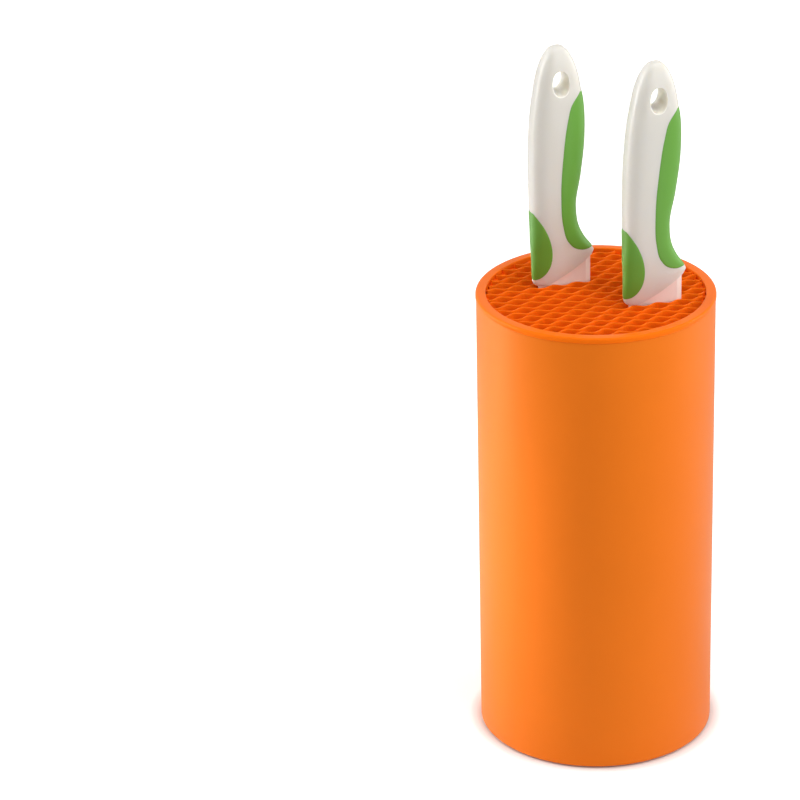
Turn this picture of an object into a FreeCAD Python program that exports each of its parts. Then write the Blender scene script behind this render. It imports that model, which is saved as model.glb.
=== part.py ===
import FreeCAD, Part
import math
import os
import re

import Sketcher

# Knife block with two ceramic knives: a round tub, a lift-out insert of upright wavy leaves, and two knives.
# Frame: millimetres, +Z up, origin in the middle of the face that the block stands on; leaves along X.

SIZES = {
    # casing
    "casing_diameter": 109.7,
    "casing_wall": 2.2,
    "casing_floor": 3.0,
    "casing_rim_height": 217.5,
    "casing_foot_chamfer": 0.8,
    # non-slip pads, set in recesses under the floor
    "pad_side": 11.0,
    "pad_thickness": 1.6,
    "pad_recess": 1.0,
    "pad_inset": 13.85,
    "pad_fit": 0.15,
    # collar, the flange of the insert
    "collar_overhang": 0.3,
    "collar_thickness": 2.5,
    "collar_edge": 0.9,
    "collar_lip": 0.25,
    # liner, the cup of the insert
    "insert_clearance": 0.3,
    "liner_wall": 1.7,
    "liner_floor": 1.5,
    "liner_lift": 0.3,
    "groove_depth": 0.9,
    "groove_clearance": 0.15,
    # wavy leaves
    "leaf_count": 20,
    "leaf_margin": 2.9,
    "leaf_thickness": 0.7,
    "leaf_drop": 0.7,
    "leaf_end_gap": 0.25,
    "bead_length": 0.8,
    "wave_length": 10.8,
    "wave_height": 1.5,
    "wave_crest": 1.8,
    # where the knives stand: slots counted from the middle one, and the cutting edge's place along the slot
    "knife_1_slot": 3,
    "knife_1_edge": 2.5,
    "knife_2_slot": -4,
    "knife_2_edge": 34.1,
    "seat_gap": 0.3,
    # blades
    "knife_1_blade_length": 127.0,
    "knife_2_blade_length": 152.0,
    "blade_thickness": 1.8,
    "blade_width": 25.0,
    "blade_tip_rise": 46.0,
    "blade_belly_rise": 12.0,
    "blade_tip_width": 4.5,
    "blade_spine_radius": 90.0,
    "blade_belly_radius": 30.0,
    "grind_width": 2.4,
    "grind_depth": 0.7,
    "blade_seat_depth": 2.0,
    "blade_seat_fit": 0.05,
    "tang_length": 52.0,
    "tang_front": 11.0,
    "tang_back": 19.0,
    # handle, side view: distances back from the cutting edge's line and heights above the handle's nose
    "handle_length": 115.6,
    "handle_thickness": 15.0,
    "edge_rounding": 4.0,
    "nose_back": 27.9,
    "palm_back": 29.2,
    "palm_back_height": 76.0,
    "butt_back": 22.9,
    "butt_front": 8.6,
    "butt_flat": 0.4,
    "palm_front": 4.0,
    "palm_front_height": 74.0,
    "palm_radius": 30.0,
    "finger_front": 9.1,
    "finger_height": 27.7,
    "finger_radius": 18.0,
    "guard_reach": 1.9,
    "guard_height": 15.3,
    "guard_radius": 5.0,
    "nose_flat": 21.0,
    "nose_angle": 30.5,
    "nose_corner": 4.0,
    "nose_corner_spread": 1.0,
    "barrel_height": 70.0,
    "barrel_radius": 450.0,
    "hole_width": 8.2,
    "hole_length": 12.4,
    "hole_drop": 16.9,
    "hole_back": 15.9,
    # soft grips, moulded over a web of the core
    "web_thickness": 3.6,
    "grip_skin": 2.2,
    "belly_grip_top": 95.0,
    "belly_grip_top_back": 4.5,
    "belly_grip_back": 15.8,
    "belly_grip_bend_height": 72.0,
    "belly_grip_bend_radius": 60.0,
    "belly_grip_foot": 15.9,
    "belly_grip_foot_radius": 17.0,
    "spine_grip_radius": 19.9,
    "spine_grip_centre_back": 39.0,
    "spine_grip_centre_height": 18.8,
}

doc = FreeCAD.newDocument("knife_block")
sheet = doc.addObject("Spreadsheet::Sheet", "Sizes")
for row, (alias, number) in enumerate(SIZES.items(), start=1):
    sheet.set(f"A{row}", alias.replace("_", " "))
    sheet.set(f"B{row}", str(number))
    sheet.setAlias(f"B{row}", alias)
doc.recompute()

NODES = []  # the sub-parts that are written out, in order


def sized(text):
    """An expression on the sheet, from a formula in the sizes' own names."""
    return re.sub(r"[a-z][a-z0-9_]*", lambda m: ("Sizes." if m[0] in SIZES else "") + m[0], str(text))


def value(text):
    """What a formula in the sizes' names comes to, in millimetres or degrees."""
    result = sheet.evalExpression(sized(text))
    return float(getattr(result, "Value", result))


def bind(thing, path, text):
    thing.setExpression(path, sized(text))


def place(thing, x="0", y="0", z="0", turn="0"):
    """Place a sub-part: its point by formulas and its turn about the upright axis in degrees."""
    thing.Placement = FreeCAD.Placement(
        FreeCAD.Vector(value(x), value(y), value(z)), FreeCAD.Rotation(FreeCAD.Vector(0, 0, 1), value(turn))
    )
    for axis, text in (("x", x), ("y", y), ("z", z)):
        bind(thing, f"Placement.Base.{axis}", text)


def node(thing, label):
    """Name a sub-part, and keep it for the files."""
    thing.Label = label
    NODES.append(thing)
    return thing


# ---------------------------------------------------------------- sketches and features


def new_sketch(body, name, plane, offset="0"):
    """A sketch flat on one of the body's own origin planes, raised from it by offset."""
    sketch = body.newObject("Sketcher::SketchObject", name)
    base = next(f for f in body.Origin.OriginFeatures if f.Role == plane)
    sketch.AttachmentSupport = [(base, "")]
    sketch.MapMode = "FlatFace"
    if offset != "0":
        bind(sketch, "AttachmentOffset.Base.z", offset)
    return sketch


def fix_point(sketch, name, item, end, x, y):
    """Dimension one point of the sketch from its origin."""
    for kind, axis, text in (("DistanceX", -2, x), ("DistanceY", -1, y)):
        if text == "0":
            sketch.addConstraint(Sketcher.Constraint("PointOnObject", item, end, axis))
            continue
        number = sketch.addConstraint(Sketcher.Constraint(kind, -1, 1, item, end, value(text)))
        label = f"{name}_{kind[-1].lower()}"
        sketch.renameConstraint(number, label)
        bind(sketch, f"Constraints.{label}", text)


def polygon(body, name, plane, corners, offset="0"):
    """A closed outline of straight lines; each corner is a pair of formulas."""
    sketch = new_sketch(body, name, plane, offset)
    points = [FreeCAD.Vector(value(x), value(y), 0) for x, y in corners]
    count = len(points)
    for i in range(count):
        sketch.addGeometry(Part.LineSegment(points[i], points[(i + 1) % count]))
    for i in range(count):
        sketch.addConstraint(Sketcher.Constraint("Coincident", i, 2, (i + 1) % count, 1))
    for i, (x, y) in enumerate(corners):
        fix_point(sketch, f"corner_{i}", i, 1, x, y)
    return sketch


def pad(body, name, sketch, length, both_ways=False):
    feature = body.newObject("PartDesign::Pad", name)
    feature.Profile = sketch
    feature.SideType = "Symmetric" if both_ways else "One side"
    bind(feature, "Length", length)
    doc.recompute()
    return feature


def pocket(body, name, sketch, length, both_ways=False, into_plus=False):
    """Cut a sketch out of the body, and make sure that it cut."""
    before = body.Shape.Volume
    feature = body.newObject("PartDesign::Pocket", name)
    feature.Profile = sketch
    feature.SideType = "Symmetric" if both_ways else "One side"
    feature.Reversed = into_plus
    bind(feature, "Length", length)
    doc.recompute()
    if not body.Shape.Volume < before - 1e-6:
        raise RuntimeError(f"{name} cuts nothing")
    return feature


def revolve(body, name, sketch):
    feature = body.newObject("PartDesign::Revolution", name)
    feature.Profile = sketch
    feature.ReferenceAxis = (sketch, ["V_Axis"])
    feature.Angle = 360
    doc.recompute()
    return feature


def edges_where(feature, test):
    """The names of a feature's edges whose middle point passes a test."""
    names = []
    for number, edge in enumerate(feature.Shape.Edges, start=1):
        middle = edge.valueAt((edge.FirstParameter + edge.LastParameter) / 2)
        if test(edge, middle):
            names.append(f"Edge{number}")
    return names


def fillet(body, name, base, names, radius):
    feature = body.newObject("PartDesign::Fillet", name)
    feature.Base = (base, names)
    bind(feature, "Radius", radius)
    doc.recompute()
    return feature


def round_corners(body, name, base, corners, radius):
    """Round the upright edges that stand on the given corners of a side view."""
    points = [(value(x), value(z)) for x, z in corners]

    def on_corner(edge, middle):
        return any(math.hypot(middle.x - x, middle.z - z) < 1e-4 for x, z in points)

    return fillet(body, name, base, edges_where(base, on_corner), radius)


# ---------------------------------------------------------------- casing and pads

PAD_STAND = "(pad_thickness - pad_recess)"
PAD_CIRCLE = "(casing_diameter / 2 - pad_inset)"
CASING_BORE = "(casing_diameter / 2 - casing_wall)"


def make_casing():
    """The tub: a turned wall and floor, with square recesses for the pads and a broken bottom edge."""
    body = doc.addObject("PartDesign::Body", "casing")
    floor_top = f"{PAD_STAND} + casing_floor"
    profile = polygon(
        body,
        "casing_profile",
        "XZ_Plane",
        [
            ("0", PAD_STAND),
            ("casing_diameter / 2 - casing_foot_chamfer", PAD_STAND),
            ("casing_diameter / 2", f"{PAD_STAND} + casing_foot_chamfer"),
            ("casing_diameter / 2", "casing_rim_height"),
            (CASING_BORE, "casing_rim_height"),
            (CASING_BORE, floor_top),
            ("0", floor_top),
        ],
    )
    revolve(body, "casing_wall_and_floor", profile)
    near = f"{PAD_CIRCLE} - pad_side / 2 - pad_fit"
    far = f"{PAD_CIRCLE} + pad_side / 2 + pad_fit"
    half = "(pad_side / 2 + pad_fit)"
    corners = [(near, f"-{half}"), (far, f"-{half}"), (far, half), (near, half)]
    sketch = polygon(body, "pad_recess_outline", "XY_Plane", corners, PAD_STAND)
    recess = pocket(body, "pad_recess_cut", sketch, "pad_recess", into_plus=True)
    ring = body.newObject("PartDesign::PolarPattern", "pad_recesses")
    ring.Originals = [recess]
    ring.Axis = (sketch, ["N_Axis"])
    ring.Angle = 360
    ring.Occurrences = 4
    body.Tip = ring
    doc.recompute()
    node(body, "casing")


def make_foot_pad(number):
    """One square rubber pad, standing proud of the casing's floor."""
    body = doc.addObject("PartDesign::Body", f"foot_pad_{number}")
    near = f"{PAD_CIRCLE} - pad_side / 2"
    far = f"{PAD_CIRCLE} + pad_side / 2"
    corners = [(near, "-pad_side / 2"), (far, "-pad_side / 2"), (far, "pad_side / 2"), (near, "pad_side / 2")]
    pad(body, "pad_block", polygon(body, "pad_outline", "XY_Plane", corners), "pad_thickness")
    body.Placement = FreeCAD.Placement(
        FreeCAD.Vector(0, 0, 0), FreeCAD.Rotation(FreeCAD.Vector(0, 0, 1), 90 * (number - 1))
    )
    node(body, f"foot_pad_{number}")


# ---------------------------------------------------------------- collar, liner and leaves

BLOCK_TOP = "(casing_rim_height + collar_thickness)"
LEAF_TOP = f"({BLOCK_TOP} - leaf_drop)"
LINER_RADIUS = f"({CASING_BORE} - insert_clearance)"
LINER_BORE = f"({LINER_RADIUS} - liner_wall)"
OPENING = f"({LINER_BORE} - collar_lip)"
LINER_BOTTOM = f"({PAD_STAND} + casing_floor + liner_lift)"
LEAF_FOOT = f"({LINER_BOTTOM} + liner_floor)"
BEAD_WIDTH = "(wave_height + leaf_thickness)"
LEAF_PITCH = f"(2 * ({OPENING} - leaf_margin) / (leaf_count - 1))"


def make_collar():
    """The flange ring that hangs the insert on the casing's rim."""
    body = doc.addObject("PartDesign::Body", "collar")
    outer = "casing_diameter / 2 + collar_overhang"
    inner = OPENING
    profile = polygon(
        body,
        "collar_profile",
        "XZ_Plane",
        [
            (inner, "casing_rim_height"),
            (outer, "casing_rim_height"),
            (outer, f"{BLOCK_TOP} - collar_edge"),
            (f"{outer} - collar_edge", BLOCK_TOP),
            (inner, BLOCK_TOP),
        ],
    )
    revolve(body, "collar_ring", profile)
    node(body, "collar")


def leaf_offsets():
    """Where the leaves stand across the insert, counted in pitches from its middle."""
    count = int(value("leaf_count"))
    return [i - (count - 1) / 2 for i in range(count)]


def make_liner():
    """The insert's cup: a turned wall and floor, less an upright groove at both ends of each leaf."""
    body = doc.addObject("PartDesign::Body", "liner_cup")
    profile = polygon(
        body,
        "liner_profile",
        "XZ_Plane",
        [
            ("0", LINER_BOTTOM),
            (LINER_RADIUS, LINER_BOTTOM),
            (LINER_RADIUS, "casing_rim_height"),
            (LINER_BORE, "casing_rim_height"),
            (LINER_BORE, LEAF_FOOT),
            ("0", LEAF_FOOT),
        ],
    )
    revolve(body, "liner_wall_and_floor", profile)
    height = f"casing_rim_height - {LEAF_FOOT} + liner_wall"
    width = f"({BEAD_WIDTH} + 2 * groove_clearance)"
    slabs = []
    for number, offset in enumerate(leaf_offsets(), start=1):
        slab = doc.addObject("Part::Box", f"groove_slab_{number:02d}")
        bind(slab, "Length", f"2 * {LINER_RADIUS}")
        bind(slab, "Width", width)
        bind(slab, "Height", height)
        place(slab, f"-{LINER_RADIUS}", f"{offset} * {LEAF_PITCH} - {width} / 2", LEAF_FOOT)
        slabs.append(slab)
    comb = doc.addObject("Part::Compound", "groove_slabs")
    comb.Links = slabs
    reach = doc.addObject("Part::Cylinder", "groove_reach")
    bind(reach, "Radius", f"{LINER_BORE} + groove_depth")
    bind(reach, "Height", height)
    place(reach, z=LEAF_FOOT)
    grooves = doc.addObject("Part::Common", "grooves")
    grooves.Base = reach
    grooves.Tool = comb
    liner = doc.addObject("Part::Cut", "liner_grooved")
    liner.Base = body
    liner.Tool = grooves
    doc.recompute()
    node(liner, "liner")


def wave_side(shift):
    """One side of a wavy strip, from end to end: its middle line moved square to itself by shift.

    The middle line has short flats at its crests, wave_height apart across the strip, and sloping flanks.
    At a crest's corner the side moves shift across the strip and shift * tan(slope / 2) along it.
    """
    half_wave = value("wave_length / 2")
    half_crest = value("wave_crest / 2")
    crest_height = value("wave_height / 2")
    slope = math.atan2(2 * crest_height, half_wave - 2 * half_crest)
    bends = int(value(OPENING) / half_wave) + 2
    points = []
    for i in range(-bends, bends + 1):
        side = 1 if i % 2 == 0 else -1
        reach = half_crest + side * shift * math.tan(slope / 2)
        for end in (-1, 1):
            points.append(FreeCAD.Vector(i * half_wave + end * reach, side * crest_height + shift, 0))
    return points


def make_wave_stock():
    """A wavy strip longer than any leaf, with a crest at its middle; the leaves are cut from it to length."""
    half = value("leaf_thickness / 2")
    outline = wave_side(half) + wave_side(-half)[::-1]
    stock = doc.addObject("Part::Feature", "wave_stock")
    face = Part.Face(Part.makePolygon(outline + outline[:1]))
    stock.Shape = face.extrude(FreeCAD.Vector(0, 0, value(f"{LEAF_TOP} - {LEAF_FOOT}")))
    return stock


def make_leaves():
    """Each leaf is a length of the stock with a bead at both ends that slides down a groove of the liner.

    Neighbours are turned end for end, so that crests face crests and the slots swell and narrow.
    """
    stock = make_wave_stock()
    outer = f"({LINER_BORE} + groove_depth - groove_clearance)"
    inner = f"({OPENING} - leaf_end_gap)"
    for number, offset in enumerate(leaf_offsets(), start=1):
        side = f"({abs(offset)} * {LEAF_PITCH} + {BEAD_WIDTH} / 2)"
        top_half = f"sqrt({inner} ^ 2 - {side} ^ 2)"
        bead_end = f"sqrt({outer} ^ 2 - {side} ^ 2)"
        trim = doc.addObject("Part::Box", f"leaf_trim_{number:02d}")
        bind(trim, "Length", f"2 * {top_half}")
        bind(trim, "Width", f"2 * {BEAD_WIDTH}")
        bind(trim, "Height", f"{LEAF_TOP} - {LEAF_FOOT}")
        place(trim, f"-{top_half}", f"-{BEAD_WIDTH}", "0")
        strip = doc.addObject("Part::Common", f"leaf_strip_{number:02d}")
        strip.Base = stock
        strip.Tool = trim
        pieces = [strip]
        for end, start in (("left", f"-{bead_end}"), ("right", f"{top_half} - bead_length")):
            bead = doc.addObject("Part::Box", f"leaf_bead_{end}_{number:02d}")
            bind(bead, "Length", f"{bead_end} - {top_half} + bead_length")
            bind(bead, "Width", BEAD_WIDTH)
            bind(bead, "Height", f"casing_rim_height - groove_clearance - {LEAF_FOOT}")
            place(bead, start, f"-{BEAD_WIDTH} / 2", "0")
            pieces.append(bead)
        leaf = doc.addObject("Part::MultiFuse", f"leaf_{number:02d}")
        leaf.Shapes = pieces
        leaf.Refine = True
        place(leaf, "0", f"{offset} * {LEAF_PITCH}", LEAF_FOOT, "180" if number % 2 else "0")
        node(leaf, f"wave_leaf_{number:02d}")
    doc.recompute()


# ---------------------------------------------------------------- knives
# A knife's own frame: X towards the cutting edge, whose line is x = 0; Y across the blade; Z up the handle
# from the nose that rests on the leaves.

DEEP = "(handle_length / 3)"  # how far cutting sketches run past the handle, more than it measures across
NOSE_SLANT = "tan(nose_angle)"


def handle_pad(body, thickness, inset="0"):
    """The handle's side view as a pad with rounded corners.

    inset draws the outline in, and the butt's two corners are as round as fits beside each other.
    """
    back = f" + {inset}"
    front = f" - {inset}"
    low = f"-{DEEP}"
    palm = [(f"-palm_back{back}", "palm_back_height"), (f"-palm_front{front}", "palm_front_height")]
    butt = [
        (f"-butt_back{back}", f"handle_length - {inset}"),
        (f"-butt_front{front}", f"handle_length - {inset}"),
    ]
    finger = (f"-finger_front{front}", "finger_height")
    guard = (f"guard_reach{front}", "guard_height")
    back_line_low = f"-nose_back + (palm_back - nose_back) * {DEEP} / palm_back_height{back}"
    corners = [
        (back_line_low, low),
        palm[0],
        butt[0],
        butt[1],
        palm[1],
        finger,
        guard,
        (f"guard_reach{front}", low),
    ]
    feature = pad(body, "side_view", polygon(body, "side_view_outline", "XZ_Plane", corners), thickness, True)
    for name, points, radius in (
        ("palm_curve", palm, "palm_radius"),
        ("butt_curve", butt, f"(butt_back - butt_front - butt_flat) / 2 - {inset}"),
        ("finger_curve", [finger], "finger_radius"),
        ("guard_curve", [guard], "guard_radius"),
    ):
        feature = round_corners(body, name, feature, points, radius)
    return feature


def nose_cut(body):
    """Trim the handle's front end: slanting under the guard, then flat, with a rounded back corner."""
    sketch = new_sketch(body, "nose_outline", "XZ_Plane")
    far = f"guard_reach + {DEEP}"
    back = "-(nose_back + nose_corner_spread)"
    centre = (f"{back} + nose_corner", "nose_corner")
    points = [
        ("-nose_flat", "0"),
        (far, f"({far} + nose_flat) * {NOSE_SLANT}"),
        (far, f"-2 * {DEEP}"),
        (f"{back} - {DEEP}", f"-2 * {DEEP}"),
        (f"{back} - {DEEP}", "nose_corner"),
        (back, "nose_corner"),
    ]
    flat = [FreeCAD.Vector(value(x), value(z), 0) for x, z in points]
    for i in range(5):
        sketch.addGeometry(Part.LineSegment(flat[i], flat[i + 1]))
    middle = FreeCAD.Vector(value(centre[0]), value(centre[1]), 0)
    radius = value("nose_corner")
    circle = Part.Circle(middle, FreeCAD.Vector(0, 0, 1), radius)
    arc = sketch.addGeometry(Part.ArcOfCircle(circle, math.pi, 1.5 * math.pi))
    last = sketch.addGeometry(Part.LineSegment(FreeCAD.Vector(middle.x, 0, 0), flat[0]))
    for i in range(4):
        sketch.addConstraint(Sketcher.Constraint("Coincident", i, 2, i + 1, 1))
    sketch.addConstraint(Sketcher.Constraint("Coincident", 4, 2, arc, 1))
    sketch.addConstraint(Sketcher.Constraint("Coincident", arc, 2, last, 1))
    sketch.addConstraint(Sketcher.Constraint("Coincident", last, 2, 0, 1))
    for i in range(5):
        fix_point(sketch, f"nose_{i}", i, 1, *points[i])
    fix_point(sketch, "nose_centre", arc, 3, *centre)
    sketch.addConstraint(Sketcher.Constraint("Horizontal", arc, 1, arc, 3))
    sketch.addConstraint(Sketcher.Constraint("Vertical", arc, 2, arc, 3))
    sketch.addConstraint(Sketcher.Constraint("PointOnObject", last, 1, -1))
    pocket(body, "nose_trim", sketch, f"2 * {DEEP}", both_ways=True)


def barrel_cut(body, side):
    """Trim one face of the handle to a long barrel curve, fullest at the palm and thin at the nose."""
    name = "front" if side < 0 else "back"
    sketch = new_sketch(body, f"barrel_{name}_outline", "YZ_Plane")
    radius = value("barrel_radius")
    height = value("barrel_height")
    centre = (f"{side} * (handle_thickness / 2 - barrel_radius)", "barrel_height")
    out = side * value("handle_thickness")
    low = value(f"-{DEEP}")
    high = value(f"handle_length + {DEEP}")
    middle = FreeCAD.Vector(value(centre[0]), height, 0)
    at_low, at_high = (
        FreeCAD.Vector(middle.x + side * math.sqrt(radius**2 - (z - height) ** 2), z, 0) for z in (low, high)
    )
    tip = FreeCAD.Vector(middle.x + side * radius, height, 0)
    arc = sketch.addGeometry(Part.Arc(at_low, tip, at_high))
    ends = (1, 2) if side > 0 else (2, 1)
    corner_high = FreeCAD.Vector(out, high, 0)
    corner_low = FreeCAD.Vector(out, low, 0)
    top = sketch.addGeometry(Part.LineSegment(at_high, corner_high))
    wall = sketch.addGeometry(Part.LineSegment(corner_high, corner_low))
    bottom = sketch.addGeometry(Part.LineSegment(corner_low, at_low))
    sketch.addConstraint(Sketcher.Constraint("Coincident", arc, ends[1], top, 1))
    sketch.addConstraint(Sketcher.Constraint("Coincident", top, 2, wall, 1))
    sketch.addConstraint(Sketcher.Constraint("Coincident", wall, 2, bottom, 1))
    sketch.addConstraint(Sketcher.Constraint("Coincident", bottom, 2, arc, ends[0]))
    fix_point(sketch, "centre", arc, 3, *centre)
    number = sketch.addConstraint(Sketcher.Constraint("Radius", arc, radius))
    sketch.renameConstraint(number, "radius")
    bind(sketch, "Constraints.radius", "barrel_radius")
    fix_point(sketch, "high", wall, 1, f"{side} * handle_thickness", f"handle_length + {DEEP}")
    fix_point(sketch, "low", wall, 2, f"{side} * handle_thickness", f"-{DEEP}")
    sketch.addConstraint(Sketcher.Constraint("Horizontal", top))
    sketch.addConstraint(Sketcher.Constraint("Horizontal", bottom))
    pocket(body, f"barrel_{name}", sketch, f"4 * {DEEP}", both_ways=True)


def hanging_hole(body):
    """The oval hole by which a knife can be hung up."""
    sketch = new_sketch(body, "hole_outline", "XZ_Plane")
    radius = value("hole_width") / 2
    straight = "(hole_length - hole_width) / 2"
    ends = []
    for name, sign in (("top", 1), ("bottom", -1)):
        centre = ("-hole_back", f"handle_length - hole_drop + {sign} * {straight}")
        middle = FreeCAD.Vector(value(centre[0]), value(centre[1]), 0)
        circle = Part.Circle(middle, FreeCAD.Vector(0, 0, 1), radius)
        start = 0 if sign > 0 else math.pi
        arc = sketch.addGeometry(Part.ArcOfCircle(circle, start, start + math.pi))
        fix_point(sketch, name, arc, 3, *centre)
        number = sketch.addConstraint(Sketcher.Constraint("Radius", arc, radius))
        sketch.renameConstraint(number, f"{name}_radius")
        bind(sketch, f"Constraints.{name}_radius", "hole_width / 2")
        for end in (1, 2):
            sketch.addConstraint(Sketcher.Constraint("Horizontal", arc, end, arc, 3))
        ends.append((arc, middle, sign))
    for (one, a, sign), (other, b, _) in (ends, ends[::-1]):
        start = FreeCAD.Vector(a.x - sign * radius, a.y, 0)
        stop = FreeCAD.Vector(b.x - sign * radius, b.y, 0)
        line = sketch.addGeometry(Part.LineSegment(start, stop))
        sketch.addConstraint(Sketcher.Constraint("Coincident", one, 2, line, 1))
        sketch.addConstraint(Sketcher.Constraint("Coincident", line, 2, other, 1))
    pocket(body, "hanging_hole", sketch, f"2 * {DEEP}", both_ways=True)


def make_handle_blank():
    """The whole handle's outer form, core and grips together."""
    body = doc.addObject("PartDesign::Body", "handle_blank")
    feature = handle_pad(body, "handle_thickness")
    low = value(f"-{DEEP}")

    def along_rim(edge, middle):
        return edge.BoundBox.YLength < 1e-6 and middle.z > low + 1e-3

    fillet(body, "edge_rounding", feature, edges_where(feature, along_rim), "edge_rounding")
    nose_cut(body)
    for side in (-1, 1):
        barrel_cut(body, side)
    hanging_hole(body)
    return body


def make_web():
    """The thin web of the core on which the soft grips sit."""
    body = doc.addObject("PartDesign::Body", "handle_web")
    handle_pad(body, "web_thickness", "grip_skin")
    return body


def make_belly_region():
    """Where the belly grip is: a curved strip from the guard up the front of the palm."""
    body = doc.addObject("PartDesign::Body", "belly_region")
    bend = ("-belly_grip_back", "belly_grip_bend_height")
    foot = ("-belly_grip_back", "belly_grip_foot")
    corners = [
        ("-belly_grip_top_back", "belly_grip_top"),
        bend,
        foot,
        (f"guard_reach + {DEEP}", "belly_grip_foot"),
        (f"guard_reach + {DEEP}", "belly_grip_top"),
    ]
    outline = polygon(body, "belly_region_outline", "XZ_Plane", corners)
    feature = pad(body, "belly_region_pad", outline, DEEP, True)
    feature = round_corners(body, "belly_bend", feature, [bend], "belly_grip_bend_radius")
    round_corners(body, "belly_foot", feature, [foot], "belly_grip_foot_radius")
    return body


def make_spine_region():
    """Where the spine grip is: the part of a disc that the handle's back edge cuts off."""
    disc = doc.addObject("Part::Cylinder", "spine_region")
    bind(disc, "Radius", "spine_grip_radius")
    bind(disc, "Height", DEEP)
    place(disc, "-spine_grip_centre_back", f"{DEEP} / 2", "spine_grip_centre_height")
    disc.Placement.Rotation = FreeCAD.Rotation(FreeCAD.Vector(1, 0, 0), 90)
    return disc


def blade_outline(body, length, name):
    """The blade's side view, tang included, as a sharp-cornered sketch; the tip points down."""
    spine_end = ("-blade_width", f"-{length} + blade_tip_rise")
    tip = ("-blade_tip_width", f"-{length}")
    belly = ("0", f"-{length} + blade_belly_rise")
    corners = [
        ("-blade_width", "blade_seat_depth"),
        spine_end,
        tip,
        belly,
        ("0", f"nose_flat * {NOSE_SLANT} + blade_seat_depth"),
        ("-tang_front", f"(nose_flat - tang_front) * {NOSE_SLANT} + blade_seat_depth"),
        ("-tang_front", "tang_length"),
        ("-tang_back", "tang_length"),
        ("-tang_back", f"(nose_flat - tang_back) * {NOSE_SLANT} + blade_seat_depth"),
        ("-nose_flat", "blade_seat_depth"),
    ]
    return polygon(body, name, "XZ_Plane", corners), spine_end, tip, belly


def grind(body, name, base, tip, side):
    """Bevel one face down to the cutting edge, from the heel round the belly to the tip."""
    tip_back, tip_height = value(tip[0]), value(tip[1])

    def on_cutting_edge(edge, middle):
        on_face = edge.BoundBox.YLength < 1e-6 and middle.y * side > 0
        near_tip = middle.x > tip_back and middle.z < tip_height + value("blade_tip_rise")
        return on_face and (abs(middle.x) < 1e-4 or near_tip)

    feature = body.newObject("PartDesign::Chamfer", name)
    feature.Base = (base, edges_where(base, on_cutting_edge))
    feature.ChamferType = "Two distances"
    bind(feature, "Size", "grind_depth")
    bind(feature, "Size2", "grind_width")
    doc.recompute()
    return feature


def make_blade(name, length):
    """A ceramic blade: a flat plate with a tang, a dropped spine, a curved belly and a ground edge."""
    body = doc.addObject("PartDesign::Body", f"{name}_blade_body")
    outline, spine_end, tip, belly = blade_outline(body, length, "blade_outline")
    feature = pad(body, "blade_plate", outline, "blade_thickness", True)
    feature = round_corners(body, "spine_curve", feature, [spine_end], "blade_spine_radius")
    feature = round_corners(body, "belly_curve", feature, [belly], "blade_belly_radius")
    for name, side in (("front", -1), ("back", 1)):
        feature = grind(body, f"grind_{name}", feature, tip, side)
    return body


def make_socket():
    """What the blade's back end and tang take out of the handle."""
    body = doc.addObject("PartDesign::Body", "blade_socket")
    outline = blade_outline(body, "blade_tip_rise * 2", "socket_outline")[0]
    pad(body, "socket_plate", outline, "blade_thickness + 2 * blade_seat_fit", True)
    return body


def boolean(kind, name, base, tool):
    result = doc.addObject(f"Part::{kind}", name)
    result.Base = base
    result.Tool = tool
    return result


def make_handle_forms():
    """The three pieces of a handle where they are moulded together, each once for both knives."""
    blank = make_handle_blank()
    skin = boolean("Cut", "grip_skin", blank, make_web())
    core = boolean("Cut", "core_with_socket", blank, make_socket())
    forms = {}
    for grip, region in (("belly_grip", make_belly_region()), ("spine_grip", make_spine_region())):
        forms[grip] = boolean("Common", f"{grip}_form", skin, region)
        core = boolean("Cut", f"core_less_{grip}", core, forms[grip])
    forms["handle_core"] = core
    doc.recompute()
    return forms


def make_knives():
    """Both knives share one handle, and differ in their blades and places."""
    forms = make_handle_forms()
    for knife in ("knife_1", "knife_2"):
        where = (f"{knife}_edge", f"{knife}_slot * {LEAF_PITCH}", f"{LEAF_TOP} + seat_gap")
        for name, form in forms.items():
            piece = doc.addObject("Part::Refine", f"{knife}_{name}")
            piece.Source = form
            place(piece, *where)
            node(piece, f"{knife}_{name}")
        blade = make_blade(knife, f"{knife}_blade_length")
        place(blade, *where)
        node(blade, f"{knife}_blade")
    doc.recompute()


def check_document():
    """Stop if any object failed, or if a sub-part is not one sound solid."""
    failed = [o.Name for o in doc.Objects if {"Invalid", "Error"} & set(o.State)]
    if failed:
        raise RuntimeError("failed objects: " + ", ".join(failed))
    for thing in NODES:
        shape = thing.Shape
        if shape.isNull() or not shape.isValid() or len(shape.Solids) != 1:
            raise RuntimeError(f"{thing.Label} is not one sound solid")


def write_parts():
    os.makedirs("parts", exist_ok=True)
    for thing in NODES:
        thing.Shape.exportStep(f"parts/{thing.Label}.step")
        box = thing.Shape.BoundBox
        print(f"{thing.Label:24s} {thing.Shape.Volume:11.1f} mm3  z {box.ZMin:7.2f} to {box.ZMax:7.2f}")


make_casing()
for pad_number in range(1, 5):
    make_foot_pad(pad_number)
make_collar()
make_liner()
make_leaves()
make_knives()
doc.recompute()
check_document()
write_parts()
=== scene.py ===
import math

import bmesh
import bpy
import numpy as np
from mathutils import Matrix, Vector


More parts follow.
